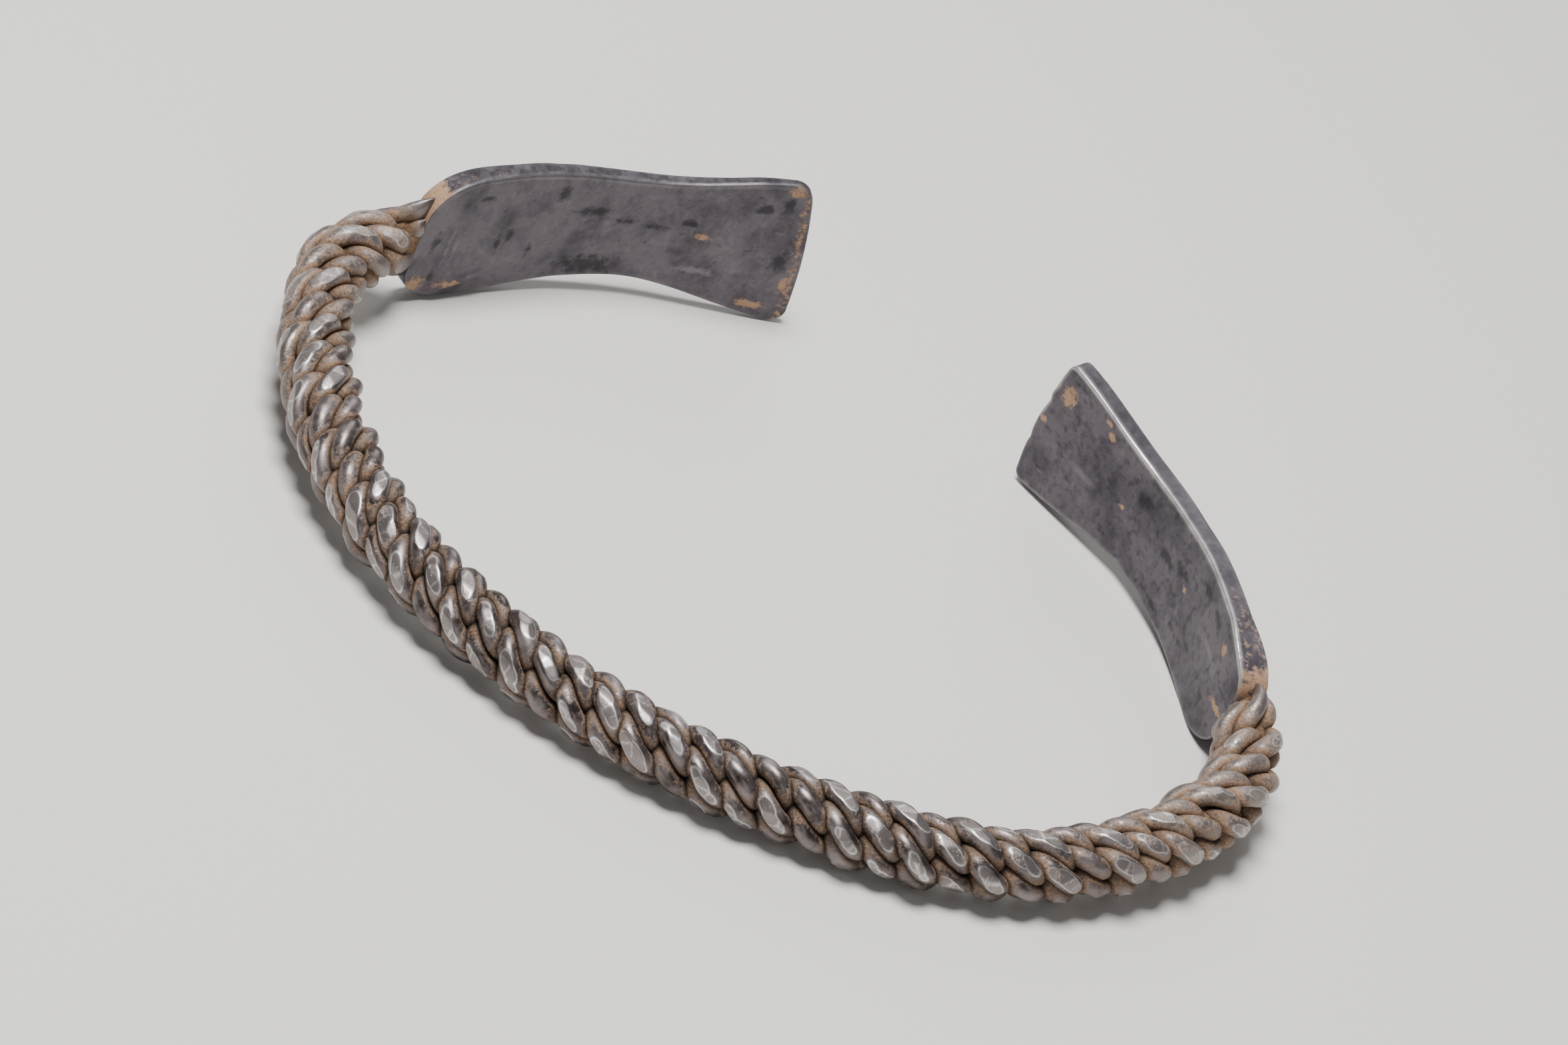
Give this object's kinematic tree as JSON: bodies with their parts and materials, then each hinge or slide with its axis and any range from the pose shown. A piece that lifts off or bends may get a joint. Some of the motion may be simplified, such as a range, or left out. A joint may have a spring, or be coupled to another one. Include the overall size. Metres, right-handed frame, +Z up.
{
  "type": "bracelet",
  "caption": "Open C-shaped bracelet: a rope of twisted silver wires with a flat, flared terminal forged at each end, lying flat.",
  "frame": {"origin": "centre of the bracelet's bounding box in plan, on the ground it lies on", "axes": "+X across the hoop, +Y towards the gap between the terminals, +Z up off the ground"},
  "size_m": [0.0672, 0.0504, 0.0113],
  "materials": {
    "silver": "tarnished, worn silver with tan soil in the hollows"
  },
  "bodies": {
    "root": {"bracelet": "silver"}
  },
  "joints": []
}
